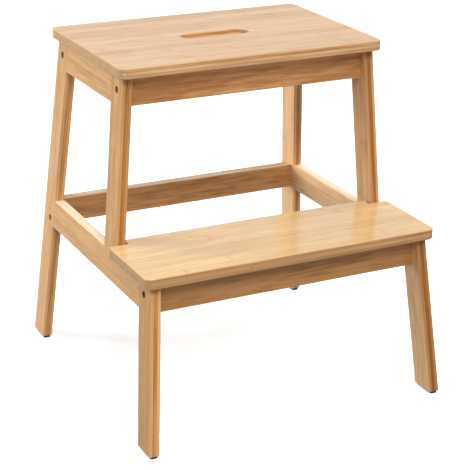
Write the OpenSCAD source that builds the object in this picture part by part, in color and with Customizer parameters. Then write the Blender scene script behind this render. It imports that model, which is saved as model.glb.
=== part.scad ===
// Two-tread step stool in laminated bamboo.
// Two flat side frames tilt outwards and are held apart by four cross rails, and two boards lie on top.
// +X is to the right, +Y to the back and +Z up. The origin is on the floor, midway between the feet.

/* [Boards] */
// Height of the top board's upper face above the floor
stool_h = 500; // [480:1:520]
// Width of the top board
top_w = 405; // [396:1:420]
// Depth of the top board
top_d = 272; // [268:1:280]
// Height of the lower tread's upper face above the floor
step_h = 252; // [244:1:260]
// Width of the lower tread
step_w = 448; // [442:1:456]
// Depth of the lower tread
step_d = 149; // [145:1:150]
// Thickness of both boards
board_t = 15; // [14:0.5:18]
// Radius of the boards' outer corners, seen from above
corner_r = 12; // [4:1:16]
// Length of the hand slot in the top board
slot_l = 107; // [90:1:130]
// Width of the hand slot in the top board
slot_w = 28; // [24:1:36]

/* [Side frames] */
// Thickness of the side frames
frame_t = 15; // [15:0.5:16]
// Width of every leg, front to back
leg_w = 40; // [39:0.5:42]
// How far each side frame tilts outwards from upright, in degrees
side_tilt = 4.5; // [4:0.1:5]
// How far the rear legs lean back, in degrees
rear_lean = 6.6; // [6.2:0.1:7]
// How far the upper front legs lean forward, in degrees
upper_lean = 2; // [1.6:0.1:2.4]
// How far the lower front legs lean forward, in degrees
lower_lean = 7.8; // [7:0.1:8.6]
// Height of the side aprons under the top board
side_apron_h = 43; // [40:1:46]
// Height of the side rails under the lower tread
side_rail_h = 42; // [40:1:46]
// Thickness of the rubber feet
foot_t = 3; // [2:0.5:4]

/* [Cross rails] */
// Thickness of the four cross rails
rail_t = 18; // [16:1:20]
// Height of the front and back aprons and of the apron under the lower tread
apron_h = 44; // [42:1:48]
// Height of the rear stretcher
stretcher_h = 38; // [37:1:42]

/* [Fasteners] */
// Radius of the frame bolts' shanks
bolt_r = 2.5; // [2:0.25:2.75]
// Radius of the frame bolts' heads
bolt_head_r = 4.25; // [4:0.25:4.5]
// Radius of the wooden dowels
dowel_r = 3; // [2.5:0.25:3.25]
// Radius of the board screws' shanks
screw_r = 2; // [1.5:0.25:2.25]

/* [Hidden] */
$fn = 48;
wood = "burlywood";
pale_wood = "wheat";
steel = "dimgray";
far = 600;              // longer than any piece
fit_gap = 0.05;         // radial gap of a dowel, screw or insert in its hole
end_gap = 1;            // room left past the end of a dowel, screw, insert or bolt

under_top = stool_h - board_t;
under_step = step_h - board_t;

// Side frames: distance of their outer and inner faces from the middle plane, by height
top_half_w = 194;
function outer_x(z) = top_half_w + tan(side_tilt) * (under_top - z);
function inner_x(z) = outer_x(z) - frame_t / cos(side_tilt);

// Legs: the front edge of each, by height
top_front = -83;
step_front = -211;
rear_leg_back = 176.3;  // at the top board's underside
upper_leg_front = -68.5; // at the top board's underside
lower_leg_front = -200; // at the lower tread's underside
function rear_y(z) = rear_leg_back - leg_w + tan(rear_lean) * (under_top - z);
function upper_y(z) = upper_leg_front - tan(upper_lean) * (under_top - z);
function lower_y(z) = lower_leg_front - tan(lower_lean) * (under_step - z);

// The same edges as values that a module can take
rear_edge = function (z) rear_y(z);
upper_edge = function (z) upper_y(z);
upper_back_edge = function (z) upper_y(z) + leg_w;
lower_edge = function (z) lower_y(z);
lower_back_edge = function (z) lower_y(z) + leg_w;

// Bolt and dowel levels at the ends of the cross rails
top_bolt_z = under_top - 21;
top_dowel_z = under_top - 35;
step_bolt_z = under_step - 18;
step_dowel_z = under_step - 35;
stretcher_bolt_z = under_step - 31;
stretcher_dowel_z = under_step - 14;

// Cross rails: [middle, front to back; bottom; top; bolt level; dowel level]
step_apron_setback = 3;  // behind its legs' middle
stretcher_advance = 6.5; // in front of its legs' middle
stretcher_top = under_step - 1;
front_rail = [upper_y(top_bolt_z) + leg_w / 2, under_top - apron_h, under_top, top_bolt_z, top_dowel_z];
back_rail = [rear_y(top_bolt_z) + leg_w / 2, under_top - apron_h, under_top, top_bolt_z, top_dowel_z];
step_rail = [lower_y(step_bolt_z) + leg_w / 2 + step_apron_setback,
    under_step - apron_h, under_step, step_bolt_z, step_dowel_z];
rear_rail = [rear_y(stretcher_bolt_z) + leg_w / 2 - stretcher_advance,
    stretcher_top - stretcher_h, stretcher_top, stretcher_bolt_z, stretcher_dowel_z];
rails = [front_rail, back_rail, step_rail, rear_rail];

// Lower tread: gaps round the upper front legs
notch_side_gap = 3;
notch_front_gap = 1;
ear_r = 6;              // round corner beside the leg

// Frame bolts and their threaded inserts
bolt_gap = 0.25;        // radial gap round a bolt's shank
bolt_well_r = 4.75;
bolt_well_depth = 8;
bolt_head_h = 5;
bolt_l = 32;
bolt_key_r = 2.3;
bolt_key_depth = 2.5;
insert_r = 4;
insert_l = 15;
insert_setback = 1;

// Dowels
dowel_l = 30;
dowel_in_leg = 13;      // along a side frame
cross_dowel_in_leg = 9; // across a leg's thickness
apron_dowels = [under_top - 34, under_top - 9];
rail_front_dowels = [under_step - 27, under_step - 8];
rail_back_dowels = [under_step - 22, under_step - 6];
leg_foot_dowels = [upper_y(under_step) + 10, upper_y(under_step) + leg_w - 10];

// Board screws
screw_head_r = 4;
screw_head_h = 3;
screw_well_r = 4.5;
screw_well_depth = 20;
screw_bite = 11;
top_tip = under_top + screw_bite;
step_tip = under_step + screw_bite;
top_screw_x = 120;
step_screw_x = 150;
side_rail_bottom = under_step - side_rail_h;
side_screw_x = outer_x(under_step - side_rail_h / 2) - frame_t / 2;
side_screw_y = -110;

foot_side_inset = 2.5;
foot_end_inset = 0.5;
foot_r = 2;

// ---- Shared shapes ----

// Draws its children on the right side, or mirrored on the left
module on_side(left) {
    if (left) mirror([1, 0, 0]) children();
    else children();
}

// A rectangle with round corners, from its lowest x and y
module round_rect(x, y, w, d, r) {
    translate([x + r, y]) square([w - 2 * r, d]);
    translate([x, y + r]) square([w, d - 2 * r]);
    for (cx = [x + r, x + w - r], cy = [y + r, y + d - r]) translate([cx, cy]) circle(r);
}

// A slot with round ends, along x
module slot_outline(length, width) {
    square([length - width, width], center = true);
    for (side = [-1, 1]) translate([side * (length - width) / 2, 0]) circle(width / 2);
}

// A round bar along x from x0 to x1
module along_x(x0, x1, r) {
    translate([x0, 0, 0]) rotate([0, 90, 0]) cylinder(h = x1 - x0, r = r);
}

// Puts its children on the right frame's inner face, where a cross rail meets it at level z
module at_rail_end(rail, z) {
    translate([inner_x(z), rail[0], z]) children();
}

// Places children in the right side frame, at mid thickness, turned with the frame
module in_frame(y, z) {
    translate([top_half_w, 0, under_top]) rotate([0, -side_tilt, 0])
        translate([-frame_t / 2, y, (z - under_top) / cos(side_tilt)]) children();
}

// A flat piece of the right side frame between two edges given by height, cut level at z_lo and z_hi
module frame_piece(front_edge, back_edge, z_lo, z_hi) {
    lo = z_lo - 10;
    hi = z_hi + 10;
    outline = [[front_edge(lo), lo], [back_edge(lo), lo], [back_edge(hi), hi], [front_edge(hi), hi]];
    intersection() {
        translate([top_half_w, 0, under_top]) rotate([0, -side_tilt, 0]) rotate([90, 0, 90])
            translate([0, 0, -frame_t]) linear_extrude(frame_t)
                polygon([for (p = outline) [p[0], (p[1] - under_top) / cos(side_tilt)]]);
        translate([0, -far / 2, z_lo]) cube([far, far, z_hi - z_lo]);
    }
}

// A leg whose front edge is given by height
module leg_piece(front_edge, z_lo, z_hi) {
    frame_piece(front_edge, function (z) front_edge(z) + leg_w, z_lo, z_hi);
}

// ---- Holes ----

// Stepped hole for a frame bolt, through a leg's thickness
module bolt_hole(rail) {
    translate([outer_x(rail[3]), rail[0], rail[3]]) {
        along_x(-bolt_well_depth, 5, bolt_well_r);
        along_x(-frame_t - 5, 1, bolt_r + bolt_gap);
    }
}

// Hole for a cross rail's insert and the bolt's end, from the rail's end
module insert_hole(rail) {
    bolt_reach = bolt_l - frame_t / cos(side_tilt) + bolt_well_depth;
    at_rail_end(rail, rail[3]) {
        along_x(-insert_setback - insert_l - end_gap / 2, 5, insert_r + fit_gap);
        along_x(-bolt_reach - end_gap, 0, bolt_r + bolt_gap);
    }
}

module rail_dowel_hole(rail) {
    at_rail_end(rail, rail[4]) along_x(cross_dowel_in_leg - dowel_l - end_gap,
        cross_dowel_in_leg + end_gap, dowel_r + fit_gap);
}

// A bar along y across the edge of a leg, from into_leg inside it
module frame_bar(y, z, into_leg, length, r, towards_back) {
    in_frame(y, z) rotate([towards_back ? -90 : 90, 0, 0])
        translate([0, 0, -into_leg]) cylinder(h = length, r = r);
}

// The dowels of a side frame, grown by gap and longer by extra at each end for their holes
module frame_dowels(gap, extra) {
    r = dowel_r + gap;
    length = dowel_l + 2 * extra;
    in_leg = dowel_in_leg + extra;
    for (z = apron_dowels) {
        frame_bar(upper_back_edge(z), z, in_leg, length, r, true);
        frame_bar(rear_edge(z), z, in_leg, length, r, false);
    }
    for (z = rail_front_dowels) frame_bar(lower_back_edge(z), z, in_leg, length, r, true);
    for (z = rail_back_dowels) frame_bar(rear_edge(z), z, in_leg, length, r, false);
    for (y = leg_foot_dowels) in_frame(y, under_step)
        translate([0, 0, -length / 2]) cylinder(h = length, r = r);
}

// A board screw pointing up, in a well that starts at z_lo, with its tip at height tip
module board_screw(x, y, z_lo, tip) {
    head_z = z_lo + screw_well_depth;
    translate([x, y, head_z]) {
        cylinder(h = screw_head_h, r1 = screw_head_r, r2 = screw_r);
        cylinder(h = tip - head_z, r = screw_r);
    }
}

module screw_hole(x, y, z_lo, tip) {
    head_z = z_lo + screw_well_depth;
    translate([x, y, z_lo - 5]) cylinder(h = screw_well_depth + 5, r = screw_well_r);
    translate([x, y, head_z])
        cylinder(h = screw_head_h, r1 = screw_head_r + fit_gap, r2 = screw_r + fit_gap);
    translate([x, y, z_lo]) cylinder(h = tip + end_gap - z_lo, r = screw_r + fit_gap);
}

module top_screw_holes() {
    for (rail = [front_rail, back_rail], x = [-top_screw_x, top_screw_x])
        screw_hole(x, rail[0], rail[1], top_tip);
}

module step_screw_holes() {
    for (x = [-step_screw_x, step_screw_x]) screw_hole(x, step_rail[0], step_rail[1], step_tip);
    for (x = [-side_screw_x, side_screw_x]) screw_hole(x, side_screw_y, side_rail_bottom, step_tip);
}

// ---- Boards ----

module top_board() {
    color(wood) difference() {
        translate([0, 0, under_top]) linear_extrude(board_t) difference() {
            round_rect(-top_w / 2, top_front, top_w, top_d, corner_r);
            translate([0, top_front + top_d / 2]) slot_outline(slot_l, slot_w);
        }
        top_screw_holes();
    }
}

module step_board() {
    back = step_front + step_d;
    notch_y = upper_y(under_step) - notch_front_gap;
    notch_x = inner_x(step_h) - notch_side_gap;
    ear_front = step_front + corner_r;
    color(wood) difference() {
        translate([0, 0, under_step]) linear_extrude(board_t) {
            // The front, as wide as the board, with larger corners in front than beside the legs
            round_rect(-step_w / 2, step_front, step_w, step_d / 2, corner_r);
            round_rect(-step_w / 2, ear_front, step_w, notch_y - ear_front, ear_r);
            // The middle, which runs back between the legs
            translate([-notch_x, ear_front]) square([2 * notch_x, back - ear_front]);
        }
        step_screw_holes();
    }
}

// ---- Side frames ----

module rear_leg(left) {
    color(wood) on_side(left) difference() {
        leg_piece(rear_edge, foot_t, under_top);
        frame_dowels(fit_gap, end_gap);
        for (rail = [back_rail, rear_rail]) {
            bolt_hole(rail);
            rail_dowel_hole(rail);
        }
    }
}

module upper_front_leg(left) {
    color(wood) on_side(left) difference() {
        leg_piece(upper_edge, under_step, under_top);
        frame_dowels(fit_gap, end_gap);
        bolt_hole(front_rail);
        rail_dowel_hole(front_rail);
    }
}

module lower_front_leg(left) {
    color(wood) on_side(left) difference() {
        leg_piece(lower_edge, foot_t, under_step);
        frame_dowels(fit_gap, end_gap);
        bolt_hole(step_rail);
        rail_dowel_hole(step_rail);
    }
}

module side_apron(left) {
    color(wood) on_side(left) difference() {
        frame_piece(upper_back_edge, rear_edge, under_top - side_apron_h, under_top);
        frame_dowels(fit_gap, end_gap);
    }
}

module side_rail(left) {
    color(wood) on_side(left) difference() {
        frame_piece(lower_back_edge, rear_edge, side_rail_bottom, under_step);
        frame_dowels(fit_gap, end_gap);
        step_screw_holes();
    }
}

// A thin rubber pad under a leg, a little smaller than the leg's foot
module foot(leg_front, left) {
    color("black") on_side(left)
        translate([inner_x(foot_t) + foot_side_inset, leg_front + foot_end_inset, 0]) linear_extrude(foot_t)
            round_rect(0, 0, frame_t - 2 * foot_side_inset, leg_w - 2 * foot_end_inset, foot_r);
}

// ---- Cross rails ----

// A rail between the side frames, its ends cut to their tilt
module cross_rail(rail) {
    bottom = rail[1];
    top = rail[2];
    color(wood) difference() {
        translate([0, rail[0] + rail_t / 2, 0]) rotate([90, 0, 0]) linear_extrude(rail_t)
            polygon([[-inner_x(bottom), bottom], [inner_x(bottom), bottom],
                     [inner_x(top), top], [-inner_x(top), top]]);
        for (left = [false, true]) on_side(left) {
            insert_hole(rail);
            rail_dowel_hole(rail);
        }
        top_screw_holes();
        step_screw_holes();
    }
}

// ---- Fasteners ----

module frame_bolt(rail) {
    translate([outer_x(rail[3]) - bolt_well_depth, rail[0], rail[3]]) {
        difference() {
            along_x(0, bolt_head_h, bolt_head_r);
            translate([bolt_head_h - bolt_key_depth, 0, 0]) rotate([0, 90, 0])
                cylinder(h = bolt_key_depth + 1, r = bolt_key_r, $fn = 6);
        }
        along_x(-bolt_l, 0, bolt_r);
    }
}

module threaded_insert(rail) {
    at_rail_end(rail, rail[3]) difference() {
        along_x(-insert_setback - insert_l, -insert_setback, insert_r);
        along_x(-insert_setback - insert_l - 1, 0, bolt_r + fit_gap);
    }
}

module rail_dowel(rail) {
    at_rail_end(rail, rail[4]) along_x(cross_dowel_in_leg - dowel_l, cross_dowel_in_leg, dowel_r);
}

module frame_bolts(left) {
    color(steel) on_side(left) for (rail = rails) frame_bolt(rail);
}

module threaded_inserts(left) {
    color("goldenrod") on_side(left) for (rail = rails) threaded_insert(rail);
}

module side_frame_dowels(left) {
    color(pale_wood) on_side(left) frame_dowels(0, 0);
}

module rail_dowels(left) {
    color(pale_wood) on_side(left) for (rail = rails) rail_dowel(rail);
}

module top_board_screws() {
    color(steel) for (rail = [front_rail, back_rail], x = [-top_screw_x, top_screw_x])
        board_screw(x, rail[0], rail[1], top_tip);
}

module step_board_screws() {
    color(steel) {
        for (x = [-step_screw_x, step_screw_x]) board_screw(x, step_rail[0], step_rail[1], step_tip);
        for (x = [-side_screw_x, side_screw_x]) board_screw(x, side_screw_y, side_rail_bottom, step_tip);
    }
}

top_board();
step_board();
rear_leg(true);  // left_rear_leg
rear_leg(false);  // right_rear_leg
upper_front_leg(true);  // left_upper_front_leg
upper_front_leg(false);  // right_upper_front_leg
lower_front_leg(true);  // left_lower_front_leg
lower_front_leg(false);  // right_lower_front_leg
side_apron(true);  // left_side_apron
side_apron(false);  // right_side_apron
side_rail(true);  // left_side_rail
side_rail(false);  // right_side_rail
cross_rail(front_rail);  // front_apron
cross_rail(back_rail);  // back_apron
cross_rail(step_rail);  // step_apron
cross_rail(rear_rail);  // rear_stretcher
foot(rear_y(foot_t), true);  // left_rear_foot
foot(rear_y(foot_t), false);  // right_rear_foot
foot(lower_y(foot_t), true);  // left_front_foot
foot(lower_y(foot_t), false);  // right_front_foot
frame_bolts(true);  // left_frame_bolts
frame_bolts(false);  // right_frame_bolts
threaded_inserts(true);  // left_threaded_inserts
threaded_inserts(false);  // right_threaded_inserts
side_frame_dowels(true);  // left_frame_dowels
side_frame_dowels(false);  // right_frame_dowels
rail_dowels(true);  // left_rail_dowels
rail_dowels(false);  // right_rail_dowels
top_board_screws();
step_board_screws();
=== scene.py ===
"""Step stool in laminated bamboo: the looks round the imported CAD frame.

Each wooden CAD node is replaced by a piece with the same faces, but with the edges that show rounded over.
Each piece carries its place in the wood as attributes: x along the grain, y across it and z through the
laminations. One solid material then gives long grain on the faces, glue lines on the edges and cut fibres on
the ends. The pieces keep the frame's axes, so that their boxes are as tight as the CAD's.
"""
import math
import random

import bmesh
import bpy
from mathutils import Matrix, Vector
from mathutils.bvhtree import BVHTree
from mathutils.geometry import intersect_point_line


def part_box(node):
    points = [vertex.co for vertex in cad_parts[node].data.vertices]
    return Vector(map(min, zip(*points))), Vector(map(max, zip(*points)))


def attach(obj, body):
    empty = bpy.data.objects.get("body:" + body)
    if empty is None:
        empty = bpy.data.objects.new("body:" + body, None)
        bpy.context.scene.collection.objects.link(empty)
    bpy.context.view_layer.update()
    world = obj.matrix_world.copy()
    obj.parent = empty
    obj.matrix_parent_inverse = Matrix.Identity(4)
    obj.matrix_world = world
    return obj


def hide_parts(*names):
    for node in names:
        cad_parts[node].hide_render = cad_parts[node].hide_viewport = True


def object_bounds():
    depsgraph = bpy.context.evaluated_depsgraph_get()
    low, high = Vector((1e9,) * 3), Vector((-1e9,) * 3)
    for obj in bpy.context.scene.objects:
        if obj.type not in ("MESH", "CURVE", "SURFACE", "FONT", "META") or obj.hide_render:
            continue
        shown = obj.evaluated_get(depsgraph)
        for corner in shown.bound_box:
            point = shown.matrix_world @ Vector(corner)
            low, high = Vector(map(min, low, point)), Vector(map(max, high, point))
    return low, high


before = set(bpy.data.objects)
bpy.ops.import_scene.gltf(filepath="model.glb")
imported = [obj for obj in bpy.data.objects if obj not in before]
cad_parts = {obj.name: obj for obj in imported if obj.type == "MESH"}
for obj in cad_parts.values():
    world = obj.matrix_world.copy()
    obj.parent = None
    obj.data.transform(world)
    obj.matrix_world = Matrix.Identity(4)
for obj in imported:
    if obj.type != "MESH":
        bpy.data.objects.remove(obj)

MM = 0.001
CAD_LOW, CAD_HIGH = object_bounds()
BODY = "root"

SIDES = ("left", "right")
BOARDS = ("top_board", "step_board")
CROSS_RAILS = ("front_apron", "back_apron", "step_apron", "rear_stretcher")
LEGS = tuple(f"{side}_{leg}" for side in SIDES for leg in ("rear_leg", "upper_front_leg", "lower_front_leg"))
SIDE_RAILS = tuple(f"{side}_{rail}" for side in SIDES for rail in ("side_apron", "side_rail"))
WOOD = BOARDS + CROSS_RAILS + LEGS + SIDE_RAILS
FEET = tuple(f"{side}_{end}_foot" for side in SIDES for end in ("rear", "front"))

# How pale (above 0) or brown (below 0) each piece is drawn: partly its stock's own tone, and partly painted
# light and shade for how the lamps fall on that piece
STOCK_AND_LIGHT_SHADES = {
    "left_rear_leg": 0.1, "right_rear_leg": 1.0,
    "left_upper_front_leg": -0.35, "right_upper_front_leg": 0.3,
    "left_lower_front_leg": -1.0, "right_lower_front_leg": 0.7,
    "left_side_apron": -0.2, "left_side_rail": -0.3, "right_side_rail": 0.6,
    "front_apron": 0.5, "step_apron": -0.5, "rear_stretcher": 0.1,
}

# The same for the narrow sides alone, on top of the piece's own value: again partly the stock's tone and
# partly painted light and shade
EDGE_STOCK_AND_LIGHT_SHADES = {
    "top_board": 0.2,
    "left_rear_leg": 0.4, "right_rear_leg": 0.4,
    "left_upper_front_leg": 0.1, "right_upper_front_leg": -0.4,
    "left_lower_front_leg": 1.5, "right_lower_front_leg": -1.9,
    "left_side_rail": 0.9,
}

# Radius of the rounded edges
BOARD_ROUND = 2.0 * MM
SLOT_ROUND = 2.5 * MM
FRAME_ROUND = 1.3 * MM
RAIL_ROUND = 1.0 * MM
RECESS_ROUND = 0.35 * MM
ROUND_STEPS = 3

SHARP = math.radians(25)        # an edge that turns more than this is an edge of the wood
SMOOTH = math.radians(35)       # shading runs smoothly over an edge that turns less than this
FLAT = math.radians(0.4)        # faces closer than this to one plane are one face
TOUCH = 0.15 * MM               # pieces nearer than this touch
WELD = 0.001 * MM               # points nearer than this are one point
HOLE_SIZE = 12 * MM             # a ring of edges smaller than this is the mouth of a hole
SLOT_SHARE = 0.4                # a ring shorter than this share of the top board is its hand slot
SHORT_EDGE = 10 * MM            # an edge shorter than this isn't cut at a neighbour
CUT_MARGIN = 1 * MM             # nor is one cut nearer its ends than this
RECESS_RADIUS = 4.6 * MM        # a hole at least this large is a bolt's recess, whose mouth is eased
BORE_SLACK = 0.5 * MM           # a hole's wall may lie this much outside its mouth
LEVEL = 0.01 * MM               # corners this near in height are at one level


# ---------------------------------------------------------------- wooden pieces

def weld(bm):
    """Merges points that coincide, and drops faces that have no area."""
    bmesh.ops.remove_doubles(bm, verts=bm.verts, dist=WELD)
    bmesh.ops.dissolve_degenerate(bm, edges=bm.edges, dist=WELD)


def clean_mesh(node):
    """The CAD node's mesh, welded, with each flat side as few faces as it can be."""
    bm = bmesh.new()
    bm.from_mesh(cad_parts[node].data)
    weld(bm)
    bmesh.ops.dissolve_limit(bm, angle_limit=FLAT, verts=bm.verts, edges=bm.edges, delimit=set())
    bm.normal_update()
    return bm


def sharp_rings(bm):
    """The sharp convex edges, in lists that hang together. The order is the same on each run."""
    sharp = [e for e in bm.edges if e.is_manifold and e.is_convex and e.calc_face_angle(0) > SHARP]
    left = set(sharp)
    rings = []
    for first in sharp:
        if first not in left:
            continue
        left.remove(first)
        ring = []
        waiting = [first]
        while waiting:
            edge = waiting.pop()
            ring.append(edge)
            for other in (e for vert in edge.verts for e in vert.link_edges):
                if other in left:
                    left.remove(other)
                    waiting.append(other)
        rings.append(ring)
    return rings


def ring_size(ring):
    """The longest side of the box round the ring."""
    points = [v.co for e in ring for v in e.verts]
    return max(max(p[i] for p in points) - min(p[i] for p in points) for i in range(3))


def near(box_a, box_b):
    """Whether the boxes touch."""
    return all(box_a[0][i] < box_b[1][i] + TOUCH and box_b[0][i] < box_a[1][i] + TOUCH for i in range(3))


def split_at_neighbours(bm, points):
    """Cuts the piece across where a neighbour's corner lies on one of its long edges, so that the edge can be
    rounded beside the joint and left sharp along it."""
    cuts = set()
    for ring in sharp_rings(bm):
        if ring_size(ring) < HOLE_SIZE:
            continue
        for edge in ring:
            a, b = (v.co for v in edge.verts)
            length = (b - a).length
            if length < SHORT_EDGE:
                continue
            axis = max(range(3), key=lambda i: abs((b - a)[i]))
            for point in points:
                foot, share = intersect_point_line(point, a, b)
                inside = CUT_MARGIN < share * length < length - CUT_MARGIN
                if (foot - point).length < TOUCH and inside:
                    cuts.add((axis, round(point[axis], 5)))
    for axis, place in sorted(cuts):
        normal = Vector([1.0 if i == axis else 0.0 for i in range(3)])
        bmesh.ops.bisect_plane(bm, geom=bm.verts[:] + bm.edges[:] + bm.faces[:], dist=WELD,
                               plane_co=normal * place, plane_no=normal)
    bm.normal_update()


def mark_bare_and_shaded_bore(bm, ring, bare_and_shaded_bore):
    """Marks the walls of the hole that opens at this ring, which are drawn dark: partly bare wood, partly
    painted shade in the recess.
    """
    points = [v.co for e in ring for v in e.verts]
    middle = sum(points, Vector()) / len(points)
    reach = ring_size(ring) / 2 + BORE_SLACK
    mouth = {f for e in ring for f in e.link_faces}
    axis = max(mouth, key=lambda f: f.calc_area()).normal
    for face in bm.faces:
        away = [v.co - middle for v in face.verts]
        if all((d - axis * d.dot(axis)).length < reach for d in away):
            face[bare_and_shaded_bore] = 1.0


def round_edges(bm, edges, radius):
    """Rounds the edges over, and returns the new faces."""
    edges = [e for e in edges if e.is_valid]
    if not edges:
        return []
    made = bmesh.ops.bevel(bm, geom=edges, offset=radius, offset_type="OFFSET", segments=ROUND_STEPS,
                           profile=0.5, affect="EDGES", clamp_overlap=True, loop_slide=True)
    return made["faces"]


def wood_axes(bm, node):
    """A matrix from the wood's own axes to the frame's: x along the grain, z through the laminations."""
    normal = max(bm.faces, key=lambda f: f.calc_area()).normal.copy()
    if node in LEGS:
        low = min(v.co.z for v in bm.verts)
        high = max(v.co.z for v in bm.verts)
        ends = [[v.co for v in bm.verts if abs(v.co.z - z) < LEVEL] for z in (low, high)]
        middles = [sum((Vector(map(f, zip(*end))) for f in (min, max)), Vector()) / 2 for end in ends]
        grain = middles[1] - middles[0]
    else:
        grain = Vector((0, 1, 0)) if node in SIDE_RAILS else Vector((1, 0, 0))
    sideways = Vector((-1 if node.startswith("left") else 1, 0, 0))
    forwards_and_up = Vector((0, -1, 0.5))
    if normal.dot(sideways if node in LEGS + SIDE_RAILS else forwards_and_up) < 0:
        normal.negate()
    grain = (grain - normal * grain.dot(normal)).normalized()
    across = normal.cross(grain)
    low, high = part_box(node)
    matrix = Matrix((grain, across, normal)).transposed().to_4x4()
    matrix.translation = (low + high) / 2
    return matrix


def centre_on_thickness(bm, matrix):
    """Moves the axes' origin to mid thickness, so that the laminations start at the faces."""
    inverse = matrix.inverted()
    heights = [(inverse @ v.co).z for v in bm.verts]
    matrix.translation += matrix.to_3x3() @ Vector((0, 0, (min(heights) + max(heights)) / 2))


def write_attribute(mesh, name, kind, values):
    """Writes a point attribute, one number or vector a vertex, laid end to end in values."""
    made = mesh.attributes.new(name, kind, "POINT")
    made.data.foreach_set("vector" if kind == "FLOAT_VECTOR" else "value", values)


def mark_wood(mesh, matrix, node, seed):
    """Writes what the bamboo material reads. matrix goes from the wood's axes to the frame's."""
    inverse = matrix.inverted()
    count = len(mesh.vertices)
    write_attribute(mesh, "wood_place", "FLOAT_VECTOR", [c for v in mesh.vertices for c in inverse @ v.co])
    write_attribute(mesh, "wood_grain", "FLOAT_VECTOR", list(matrix.col[0][:3]) * count)
    write_attribute(mesh, "wood_across", "FLOAT_VECTOR", list(matrix.col[1][:3]) * count)
    write_attribute(mesh, "piece_seed", "FLOAT", [seed] * count)
    # The piece and edge shades written here are partly the stock's tone and partly painted light and shade
    write_attribute(mesh, "piece_stock_and_light_shade", "FLOAT", [STOCK_AND_LIGHT_SHADES.get(node, 0.0)] * count)
    write_attribute(mesh, "edge_stock_and_light_shade", "FLOAT", [EDGE_STOCK_AND_LIGHT_SHADES.get(node, 0.0)] * count)


def put_in_order(elements, place):
    """Sorts points, edges or faces by what place gives for each."""
    ranks = {element: rank for rank, element in enumerate(sorted(elements, key=place))}
    elements.sort(key=ranks.get)
    elements.index_update()


def order_mesh(bm):
    """Stores the mesh in a fixed order, since rounding a closed ring leaves one that varies by the run."""
    put_in_order(bm.verts, lambda vert: vert.co[:])
    for elements in (bm.edges, bm.faces):
        put_in_order(elements, lambda element: sorted(vert.index for vert in element.verts))


def make_piece(name, bm, node, material):
    """A new object from a mesh, standing for a CAD node."""
    weld(bm)
    order_mesh(bm)
    mesh = bpy.data.meshes.new(name)
    bm.to_mesh(mesh)
    bm.free()
    for polygon in mesh.polygons:
        polygon.use_smooth = True
    mesh.set_sharp_from_angle(angle=SMOOTH)
    mesh.materials.append(material)
    piece = bpy.data.objects.new(name, mesh)
    bpy.context.scene.collection.objects.link(piece)
    normals = piece.modifiers.new("flat faces stay flat", "WEIGHTED_NORMAL")
    normals.keep_sharp = True
    normals.weight = 80
    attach(piece, BODY)
    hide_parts(node)
    return piece


def is_free(edge, trees):
    """Whether no neighbour touches the middle of the edge."""
    middle = (edge.verts[0].co + edge.verts[1].co) / 2
    return all(tree.find_nearest(middle)[3] > TOUCH for tree in trees)


def sort_rings(bm, node, trees):
    """The sharp edges to round: the outline where no neighbour touches it, the hand slot, and the mouth of
    each bolt's recess."""
    low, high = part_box(node)
    outline, slot, recesses = [], [], []
    for ring in sharp_rings(bm):
        size = ring_size(ring)
        if size < HOLE_SIZE:
            if size > 2 * RECESS_RADIUS and node in LEGS:
                recesses.append(ring)
        elif node == "top_board" and size < SLOT_SHARE * (high - low).x:
            slot += ring
        else:
            outline += [edge for edge in ring if is_free(edge, trees)]
    return outline, slot, recesses


def finish_wood(bm, node, trees):
    """Rounds a wooden piece's edges, and marks the rounded edges, drawn lighter as a painted highlight, and
    the walls of the bolt recesses, drawn dark as bare wood and painted shade.
    """
    for name in ("rim", "bare_and_shaded_bore"):
        bm.faces.layers.float.new(name)
    rim, bare_and_shaded_bore = (bm.faces.layers.float[name] for name in ("rim", "bare_and_shaded_bore"))
    outline, slot, recesses = sort_rings(bm, node, trees)
    for ring in recesses:
        mark_bare_and_shaded_bore(bm, ring, bare_and_shaded_bore)
    radius = BOARD_ROUND if node in BOARDS else RAIL_ROUND if node in CROSS_RAILS else FRAME_ROUND
    recess = [edge for ring in recesses for edge in ring]
    for edges, size in ((outline, radius), (slot, SLOT_ROUND), (recess, RECESS_ROUND)):
        for face in round_edges(bm, edges, size):
            face[rim] = 1.0


def make_wood(material_of):
    """Makes every wooden piece from its CAD node."""
    meshes = {node: clean_mesh(node) for node in WOOD}
    trees = {node: BVHTree.FromBMesh(bm) for node, bm in meshes.items()}
    corners = {node: [v.co.copy() for v in bm.verts] for node, bm in meshes.items()}
    boxes = {node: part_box(node) for node in WOOD}
    draw = random.Random(7)
    for node, bm in meshes.items():
        others = [n for n in WOOD if n != node and near(boxes[node], boxes[n])]
        matrix = wood_axes(bm, node)
        centre_on_thickness(bm, matrix)
        split_at_neighbours(bm, [point for n in others for point in corners[n]])
        finish_wood(bm, node, [trees[n] for n in others])
        piece = make_piece(f"{node}_wood", bm, node, material_of[node])
        mark_wood(piece.data, matrix, node, draw.random())


# ---------------------------------------------------------------- materials

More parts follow.
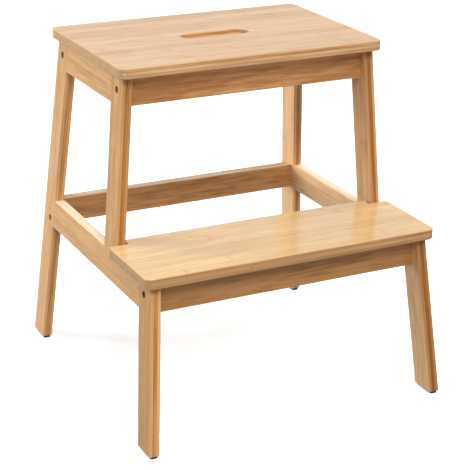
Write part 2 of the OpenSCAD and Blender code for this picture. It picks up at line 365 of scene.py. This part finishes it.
class Graph:
    """Short calls for the nodes of one material."""

    def __init__(self, name):
        self.material = bpy.data.materials.new(name)
        self.material.use_nodes = True
        self.tree = self.material.node_tree
        self.shader = self.tree.nodes["Principled BSDF"]

    def put(self, value, socket):
        if isinstance(value, bpy.types.NodeSocket):
            self.tree.links.new(value, socket)
        else:
            socket.default_value = value

    def node(self, kind, **settings):
        made = self.tree.nodes.new(kind)
        for key, value in settings.items():
            setattr(made, key, value)
        return made

    def math(self, operation, *values, clamp=False):
        made = self.node("ShaderNodeMath", operation=operation, use_clamp=clamp)
        for value, socket in zip(values, made.inputs):
            self.put(value, socket)
        return made.outputs[0]

    def ramp(self, value, low, high, to_low=0.0, to_high=1.0):
        """value taken smoothly from the range low..high to the range to_low..to_high."""
        made = self.node("ShaderNodeMapRange", interpolation_type="SMOOTHSTEP")
        for number, socket in zip((value, low, high, to_low, to_high), made.inputs):
            self.put(number, socket)
        return made.outputs[0]

    def vector(self, x, y, z):
        made = self.node("ShaderNodeCombineXYZ")
        for value, socket in zip((x, y, z), made.inputs):
            self.put(value, socket)
        return made.outputs[0]

    def split(self, vector):
        made = self.node("ShaderNodeSeparateXYZ")
        self.put(vector, made.inputs[0])
        return made.outputs

    def noise(self, vector, detail, roughness):
        made = self.node("ShaderNodeTexNoise")
        self.put(vector, made.inputs["Vector"])
        made.inputs["Scale"].default_value = 1.0
        made.inputs["Detail"].default_value = detail
        made.inputs["Roughness"].default_value = roughness
        return made.outputs[0]

    def random(self, x, y, z):
        """A random number from 0 to 1 for each set of whole numbers."""
        made = self.node("ShaderNodeTexWhiteNoise", noise_dimensions="3D")
        self.put(self.vector(x, y, z), made.inputs["Vector"])
        return made.outputs["Value"]

    def mix(self, share, a, b, blend="MIX"):
        made = self.node("ShaderNodeMix", data_type="RGBA", blend_type=blend, clamp_result=False)
        self.put(share, made.inputs["Factor"])
        self.put((*a, 1.0) if isinstance(a, tuple) else a, made.inputs["A"])
        self.put((*b, 1.0) if isinstance(b, tuple) else b, made.inputs["B"])
        return made.outputs["Result"]

    def attribute(self, name, output="Fac"):
        return self.node("ShaderNodeAttribute", attribute_name=name).outputs[output]

    def facing(self, axis):
        """How squarely the surface faces the axis that an attribute holds, from 0 to 1."""
        made = self.node("ShaderNodeVectorMath", operation="DOT_PRODUCT")
        self.put(self.attribute(axis, "Vector"), made.inputs[0])
        self.put(self.node("ShaderNodeNewGeometry").outputs["Normal"], made.inputs[1])
        return self.math("ABSOLUTE", made.outputs["Value"])

    def bump(self, height, strength, distance):
        made = self.node("ShaderNodeBump")
        made.inputs["Strength"].default_value = strength
        made.inputs["Distance"].default_value = distance
        self.put(height, made.inputs["Height"])
        self.put(made.outputs[0], self.shader.inputs["Normal"])

    def total(self, *values):
        result = values[0]
        for value in values[1:]:
            result = self.math("ADD", result, value)
        return result

    def times(self, *values):
        result = values[0]
        for value in values[1:]:
            result = self.math("MULTIPLY", result, value)
        return result

    def centred(self, value, gain):
        """A value from 0 to 1, taken to the range from -gain / 2 to gain / 2."""
        return self.times(self.math("SUBTRACT", value, 0.5), gain)

    def speckle(self, features, detail, roughness=0.5):
        """Noise that is the same in every direction, with a number of features a metre."""
        place = self.split(self.node("ShaderNodeTexCoord").outputs["Object"])
        return self.noise(self.vector(*(self.times(v, features) for v in place)), detail, roughness)


PLIES = 3
PLY_EXCESS = 1.002              # each ply is taken a little thick, so that no face of the wood is on a seam
NODE_SPACING = 240 * MM         # from node to node of the cane, along a strip
NODE_SHIFT = 5.0                # spacings over which the strips' nodes are spread
NODE_START = 40.0               # spacings added to keep every place above 0
TURNED = 0.45, 0.90             # how squarely a side faces an axis where its colour starts and is full
REDDER = 1.0, 0.945, 0.93       # tint of the reddest strips
SHADE_GAINS = 0.24, 0.32, 0.46  # what a shade of 1 adds to red, green and blue, as a share
SEED_SPREAD = 91.0              # how far apart two pieces may lie in the noise
STRIP_SPREAD = 37.0             # and two strips of one piece
OFFSET_DRAW, PLY_DRAW = 3.1, 5.3    # keep draws from the same numbers apart


def scaled(colour, *factors):
    """colour times one factor, or times one for each channel, kept below white."""
    return tuple(min(1.0, c * f) for c, f in zip(colour, factors * 3 if len(factors) == 1 else factors))


class Bamboo(Graph):
    """Laminated bamboo: plies through the thickness, each of strips side by side. The methods down to
    grow_nodes work out where a point is in the wood, and the rest make colour, gloss and relief of it."""

    def __init__(self, name, thickness, strip):
        super().__init__(name)
        self.x, self.y, self.z = self.split(self.attribute("wood_place", "Vector"))
        self.seed = self.times(self.attribute("piece_seed"), SEED_SPREAD)
        self.to_edge = self.ramp(self.facing("wood_across"), *TURNED)
        self.to_end = self.ramp(self.facing("wood_grain"), *TURNED)
        self.lay_strips(thickness, strip)
        self.grow_grain()
        self.grow_nodes()

    def to_seam(self, place, unit):
        """Distance in metres to the nearest whole number of units."""
        part = self.math("FRACT", place)
        return self.times(self.math("MINIMUM", part, self.math("SUBTRACT", 1.0, part)), unit)

    def lay_strips(self, thickness, strip):
        """Which ply and strip a point is in, random numbers for both, and the glue lines round them."""
        ply_t = thickness / PLIES * PLY_EXCESS
        ply_place = self.total(self.math("DIVIDE", self.z, ply_t), PLIES / 2)
        self.ply = self.math("FLOOR", ply_place)
        offset = self.random(self.ply, self.seed, OFFSET_DRAW)
        strip_place = self.total(self.math("DIVIDE", self.y, strip), offset)
        number = self.math("FLOOR", strip_place)
        self.tone = self.random(self.ply, number, self.seed)
        self.hue = self.random(number, self.seed, self.ply)
        self.phase = self.random(self.seed, self.ply, number)
        self.ply_tone = self.random(self.seed, PLY_DRAW, self.ply)
        inside = self.ramp(self.math("ABSOLUTE", self.z), thickness * 0.3, thickness * 0.4, 1.0, 0.0)
        ply_line = self.ramp(self.to_seam(ply_place, ply_t), 0.2 * MM, 0.9 * MM, 1.0, 0.0)
        self.ply_seam = self.times(ply_line, inside)
        self.strip_seam = self.ramp(self.to_seam(strip_place, strip), 0.0, 0.5 * MM, 1.0, 0.0)

    def grain(self, along, across, detail, roughness=0.5):
        """Noise drawn out along the grain, different in each strip. along and across are features a metre."""
        y = self.total(self.times(self.y, across), self.times(self.tone, STRIP_SPREAD))
        z = self.total(self.times(self.z, across), self.seed)
        return self.noise(self.vector(self.times(self.x, along), y, z), detail, roughness)

    def grow_grain(self):
        self.blotch = self.grain(5.0, 42.0, 2.0)
        self.broad = self.grain(6.0, 170.0, 2.0)
        self.mottle = self.grain(26.0, 210.0, 2.0)
        self.streak = self.grain(14.0, 640.0, 3.0, 0.6)
        self.fibre = self.grain(60.0, 2600.0, 1.0)
        self.pores = self.ramp(self.fibre, 0.45, 0.62)
        self.flecks = self.ramp(self.grain(34.0, 130.0, 3.0, 0.6), 0.66, 0.80)

    def grow_nodes(self):
        """Nodes of the cane: a thin, broken line across some strips, with a faint band round it."""
        place = self.math("DIVIDE", self.total(self.x, self.centred(self.broad, 9 * MM)), NODE_SPACING)
        place = self.total(place, self.times(self.phase, NODE_SHIFT), NODE_START)
        off_middle = self.math("ABSOLUTE", self.math("SUBTRACT", self.math("FRACT", place), 0.5))
        distance = self.times(off_middle, NODE_SPACING)
        shown = self.times(self.ramp(self.hue, 0.3, 0.7), self.ramp(self.streak, 0.38, 0.55))
        self.node_line = self.times(self.ramp(distance, 0.3 * MM, 1.5 * MM, 1.0, 0.0), shown)
        self.node_halo = self.times(self.ramp(distance, 1.0 * MM, 10 * MM, 1.0, 0.0),
                                    self.ramp(self.hue, 0.2, 0.8))

    def face_colour(self, face, contrast):
        """The wide sides, where the strips differ and the grain runs in streaks."""
        gains = ((self.tone, 0.6), (self.blotch, 1.7), (self.broad, 1.1), (self.streak, 1.0),
                 (self.mottle, 1.5))
        spread = self.total(*(self.centred(part, gain * contrast) for part, gain in gains))
        light = [1 + contrast * part for part in (0.12, 0.14, 0.17)]
        dark = [1 - contrast * part for part in (0.22, 0.32, 0.42)]
        return self.mix(self.math("ADD", spread, 0.42, clamp=True), scaled(face, *light), scaled(face, *dark))

    def edge_colour(self, edge, contrast, core):
        """The narrow sides, where the plies show as lines."""
        middle = self.math("SUBTRACT", 1.0, self.math("ABSOLUTE", self.math("SUBTRACT", self.ply, 1.0)))
        plies = self.total(self.times(middle, core), self.centred(self.ply_tone, 0.5))
        spread = self.total(plies, self.centred(self.broad, 1.4 * contrast),
                            self.centred(self.streak, 1.6 * contrast))
        return self.mix(self.math("ADD", spread, 0.5 - core / 2, clamp=True),
                        scaled(edge, 1.30, 1.42, 1.70), scaled(edge, 0.66, 0.52, 0.36))

    def end_colour(self, end):
        """The ends, where the cut fibres show as dark pores."""
        spread = self.math("ADD", self.times(self.pores, 0.5), self.centred(self.blotch, 1.2), clamp=True)
        return self.mix(spread, scaled(end, 1.15), scaled(end, 0.62, 0.55, 0.48))

    def tinted(self, colour, contrast):
        """The colour with some strips redder, and with the piece's own paler or browner value: partly its
        stock's tone, partly painted light and shade.
        """
        colour = self.mix(self.times(self.hue, 0.8 * contrast), colour, REDDER, "MULTIPLY")
        edge_stock_and_light_shade = self.times(self.attribute("edge_stock_and_light_shade"), self.to_edge)
        shade = self.total(self.attribute("piece_stock_and_light_shade"), edge_stock_and_light_shade)
        pale = self.vector(*(self.total(1.0, self.times(shade, gain)) for gain in SHADE_GAINS))
        return self.mix(1.0, colour, pale, "MULTIPLY")

    def marked(self, colour, face, contrast, seams):
        """The colour with glue lines, nodes, flecks, a painted highlight on the rounded edges, and the recess
        walls darkened, partly as bare wood and partly as painted shade.
        """
        brown = scaled(face, 0.42, 0.30, 0.20)
        flecks = self.times(self.flecks, self.math("SUBTRACT", 1.0, self.to_end))
        marks = (
            (self.strip_seam, 0.22 * contrast, brown),
            (self.ply_seam, seams, brown),
            (self.node_halo, 0.14, scaled(face, 0.66, 0.54, 0.42)),
            (self.node_line, 0.42, brown),
            (flecks, 0.5 * contrast, brown),
            # painted highlight: the rounded edges are drawn lighter, as where light catches them
            (self.attribute("rim"), 0.16, scaled(face, 1.12, 1.12, 1.16)),
            # bolt recess walls drawn dark brown: partly bare wood, partly painted shade inside the recess
            (self.attribute("bare_and_shaded_bore"), 0.75, brown),
        )
        for place, strength, mark in marks:
            colour = self.mix(self.times(place, strength), colour, mark)
        return colour

    def lacquer(self, roughness, coat):
        """Satin, duller where the fibres are coarse and on the ends, and rubbed smooth on the edges."""
        rough = self.total(roughness, self.centred(self.streak, 0.25), self.centred(self.blotch, 0.12),
                           self.times(self.to_end, 0.16))
        rough = self.math("SUBTRACT", rough, self.times(self.attribute("rim"), 0.06), clamp=True)
        self.put(rough, self.shader.inputs["Roughness"])
        self.shader.inputs["IOR"].default_value = 1.5
        self.shader.inputs["Coat Weight"].default_value = coat
        self.shader.inputs["Coat Roughness"].default_value = roughness * 0.7
        self.shader.inputs["Coat IOR"].default_value = 1.45

    def relief(self):
        """Fibres stand up a little, and glue lines, nodes and the pores on the ends are sunk."""
        raised = self.total(self.times(self.fibre, 0.35), self.times(self.streak, 0.3))
        sunk = self.total(self.times(self.strip_seam, 0.7), self.times(self.ply_seam, 0.4),
                          self.times(self.node_line, 0.5), self.times(self.to_end, self.pores, 0.7))
        self.bump(self.math("SUBTRACT", raised, sunk), 0.35, 0.08 * MM)


def bamboo(name, thickness, face, edge, end, roughness, coat, contrast, core, strip=20 * MM, seams=0.38):
    """A bamboo material. face, edge and end are the colours of the wide sides, the narrow sides and the ends.
    core says how much darker the middle ply shows on the narrow sides, or lighter where it is negative, and
    seams how dark the glue lines between the plies are."""
    g = Bamboo(name, thickness, strip)
    colour = g.mix(g.to_edge, g.face_colour(face, contrast), g.edge_colour(edge, contrast, core))
    colour = g.mix(g.to_end, colour, g.end_colour(end))
    colour = g.marked(g.tinted(colour, contrast), face, contrast, seams)
    g.put(colour, g.shader.inputs["Base Color"])
    g.lacquer(roughness, coat)
    g.relief()
    return g.material


def metal(name, colour, roughness, wear):
    """Plated or blackened metal with fine turning marks, and rubbed places that are wear times as bright."""
    g = Graph(name)
    marks = g.speckle(3500.0, 2.0)
    rubbed = g.ramp(g.speckle(420.0, 3.0), 0.45, 0.7)
    g.put(g.mix(rubbed, colour, scaled(colour, wear)), g.shader.inputs["Base Color"])
    g.put(g.total(roughness, g.times(marks, 0.2)), g.shader.inputs["Roughness"])
    g.shader.inputs["Metallic"].default_value = 1.0
    g.bump(marks, 0.25, 0.02 * MM)
    return g.material


def rubber(name, colour):
    """Matt rubber with a moulded grain and a dusting of lighter scuffs."""
    g = Graph(name)
    grain = g.speckle(1800.0, 3.0)
    scuffs = g.times(g.ramp(g.speckle(160.0, 4.0, 0.7), 0.5, 0.75), 0.5)
    g.put(g.mix(scuffs, colour, scaled(colour, 2.2)), g.shader.inputs["Base Color"])
    g.put(g.total(0.62, g.times(grain, 0.25)), g.shader.inputs["Roughness"])
    g.shader.inputs["IOR"].default_value = 1.52
    g.bump(grain, 0.4, 0.05 * MM)
    return g.material


def bare_wood(name, colour):
    """Unfinished beech for the hidden dowels, with the short dark flecks of its rays."""
    g = Graph(name)
    fleck = g.speckle(900.0, 3.0, 0.6)
    cloud = g.ramp(g.speckle(120.0, 2.0), 0.35, 0.65)
    base = g.mix(cloud, scaled(colour, 1.08), scaled(colour, 0.86, 0.80, 0.74))
    dark = scaled(colour, 0.62, 0.52, 0.42)
    g.put(g.mix(g.ramp(fleck, 0.55, 0.70), base, dark), g.shader.inputs["Base Color"])
    g.put(g.total(0.55, g.times(fleck, 0.3)), g.shader.inputs["Roughness"])
    g.shader.inputs["IOR"].default_value = 1.5
    g.bump(fleck, 0.3, 0.04 * MM)
    return g.material


BOARD_T = (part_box("top_board")[1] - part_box("top_board")[0]).z
RAIL_T = (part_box("front_apron")[1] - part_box("front_apron")[0]).y

TOP = bamboo("bamboo_top", BOARD_T, (0.59, 0.395, 0.225), (0.77, 0.46, 0.205), (0.49, 0.315, 0.165),
             0.34, 0.35, contrast=0.9, core=-0.6)
# The step's face is drawn paler and yellower than the top's, though both boards are one stock: painted light
# for how the lamps fall on each
STEP = bamboo("bamboo_step", BOARD_T, (0.69, 0.475, 0.23), (0.60, 0.315, 0.115), (0.46, 0.27, 0.12),
              0.21, 1.0, contrast=0.75, core=0.0, seams=0.1)
LEG = bamboo("bamboo_leg", BOARD_T, (0.63, 0.385, 0.175), (0.64, 0.31, 0.095), (0.52, 0.31, 0.14),
             0.34, 0.35, contrast=1.0, core=0.6)
# The side rails' narrow sides are their tops; their pale, creamy edge colour is partly the ply edge and
# partly painted light and sheen from above
SIDE_RAIL = bamboo("bamboo_side_rail", BOARD_T, (0.63, 0.39, 0.18), (0.80, 0.57, 0.33), (0.52, 0.31, 0.14),
                   0.34, 0.35, contrast=1.0, core=0.0, seams=0.1)
# The cross rails' narrow sides are their tops and bottoms; their pale edge colour is partly the ply edge and
# partly painted light from above
RAIL = bamboo("bamboo_rail", RAIL_T, (0.64, 0.325, 0.12), (0.82, 0.58, 0.34), (0.50, 0.30, 0.14),
              0.40, 0.15, strip=22 * MM, contrast=1.35, core=0.1, seams=0.15)

make_wood({"top_board": TOP, "step_board": STEP} | dict.fromkeys(CROSS_RAILS, RAIL) | dict.fromkeys(LEGS, LEG)
          | dict.fromkeys(SIDE_RAILS, SIDE_RAIL))


# ---------------------------------------------------------------- small pieces

def round_small(node, name, radius, material):
    """A small CAD node with all its convex edges eased."""
    bm = clean_mesh(node)
    round_edges(bm, [edge for ring in sharp_rings(bm) for edge in ring], radius)
    make_piece(name, bm, node, material)


BLACK_STEEL = metal("black_steel", (0.045, 0.045, 0.05), 0.38, 2.4)
ZINC = metal("zinc_steel", (0.62, 0.60, 0.55), 0.34, 1.2)
BRASS = metal("insert_brass", (0.72, 0.52, 0.22), 0.32, 1.2)
RUBBER = rubber("foot_rubber", (0.030, 0.028, 0.028))
BEECH = bare_wood("dowel_beech", (0.70, 0.50, 0.31))

for node in FEET:
    round_small(node, f"{node}_pad", 0.5 * MM, RUBBER)
for side in SIDES:
    round_small(f"{side}_frame_bolts", f"{side}_hex_bolts", 0.25 * MM, BLACK_STEEL)
for node in ("top_board_screws", "step_board_screws"):
    round_small(node, f"{node}_zinc", 0.15 * MM, ZINC)
for kind, material in (("threaded_inserts", BRASS), ("frame_dowels", BEECH), ("rail_dowels", BEECH)):
    for side in SIDES:
        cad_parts[f"{side}_{kind}"].material_slots[0].material = material


# ---------------------------------------------------------------- stage

FLOOR_SIZE = 14.0
FLOOR_GLOW = 0.34
ROOM_LIGHT = 0.33

KEY_PLACE = 0.3, -0.9, 4.7
KEY_ANGLE = 24                  # degrees across, which sets how soft its shadows are
KEY_POWER = 1.6

# Name, place, width and height, and power in watts. The lacquer mirrors only the wall.
SOFTBOXES = (
    ("high_left", (-2.2, 1.2, 2.2), (1.4, 1.2), 30),
    ("low_left", (-2.2, 1.7, 0.8), (1.4, 0.9), 58),
    ("right", (2.6, 0.9, 1.6), (1.8, 1.4), 26),
    ("front", (-0.9, -2.4, 2.7), (1.4, 1.2), 62),
    ("wall", (1.6, 4.0, 1.7), (4.0, 2.2), 8),
)

AZIMUTH = math.radians(-26.656)
ELEVATION = math.radians(21.313)
ROLL = math.radians(0.617)
CAMERA_TARGET = Vector((0.0054, 0.0, 0.1991))
CAMERA_DISTANCE = 2.1805
LENS = 111.80
SHIFT = 0.0059, 0.0072


def make_floor():
    """A white floor. Its glow takes it to pure white, as a studio's swept background would be."""
    bm = bmesh.new()
    bmesh.ops.create_grid(bm, x_segments=2, y_segments=2, size=FLOOR_SIZE / 2)
    mesh = bpy.data.meshes.new("floor")
    bm.to_mesh(mesh)
    bm.free()
    g = Graph("pale_floor")
    g.shader.inputs["Base Color"].default_value = (0.95, 0.95, 0.95, 1.0)
    g.shader.inputs["Roughness"].default_value = 0.7
    g.shader.inputs["Emission Color"].default_value = (1.0, 1.0, 1.0, 1.0)
    g.shader.inputs["Emission Strength"].default_value = FLOOR_GLOW
    mesh.materials.append(g.material)
    floor = bpy.data.objects.new("floor", mesh)
    bpy.context.scene.collection.objects.link(floor)
    floor.location.z = CAD_LOW.z
    floor.visible_diffuse = False       # else its white fills every shadow on the stool
    floor.visible_glossy = False


def aim(light, place, target):
    """Puts a lamp at its place, turned towards the target."""
    light.location = place
    light.rotation_mode = "QUATERNION"
    light.rotation_quaternion = (Vector(target) - Vector(place)).to_track_quat("-Z", "Y")
    bpy.context.scene.collection.objects.link(light)


def softbox(name, place, target, size, power, mirrored):
    """A flat lamp. One that isn't mirrored stays out of reflections, where it would show as a white patch."""
    data = bpy.data.lights.new(name, "AREA")
    data.shape = "RECTANGLE"
    data.size, data.size_y = size
    data.energy = power
    box = bpy.data.objects.new(name, data)
    box.visible_glossy = mirrored
    aim(box, place, target)


def far_lamp(name, place, target, angle, power):
    """A lamp so far away that it lights the whole floor evenly."""
    data = bpy.data.lights.new(name, "SUN")
    data.angle = math.radians(angle)
    data.energy = power
    aim(bpy.data.objects.new(name, data), place, target)


def make_light():
    """A high soft key and softboxes round the stool, in a pale room."""
    world = bpy.data.worlds.new("studio")
    world.use_nodes = True
    background = world.node_tree.nodes["Background"]
    background.inputs["Color"].default_value = (1.0, 1.0, 1.0, 1.0)
    background.inputs["Strength"].default_value = ROOM_LIGHT
    bpy.context.scene.world = world
    middle = (CAD_LOW + CAD_HIGH) / 2
    far_lamp("key", KEY_PLACE, middle, KEY_ANGLE, KEY_POWER)
    for name, place, size, power in SOFTBOXES:
        softbox(name, place, middle, size, power, mirrored=name == "wall")
    bpy.context.scene.view_settings.view_transform = "Standard"
    bpy.context.scene.view_settings.look = "None"


def make_camera():
    """The camera looks at the stool from the front left, a little from above."""
    back = Vector((math.sin(AZIMUTH) * math.cos(ELEVATION), -math.cos(AZIMUTH) * math.cos(ELEVATION),
                   math.sin(ELEVATION)))
    data = bpy.data.cameras.new("camera")
    data.lens = LENS
    data.shift_x, data.shift_y = SHIFT
    camera = bpy.data.objects.new("camera", data)
    camera.location = CAMERA_TARGET + back * CAMERA_DISTANCE
    camera.rotation_euler = ((-back).to_track_quat("-Z", "Y").to_matrix()
                             @ Matrix.Rotation(ROLL, 3, "Z")).to_euler()
    bpy.context.scene.collection.objects.link(camera)
    bpy.context.scene.camera = camera


make_floor()
make_light()
make_camera()
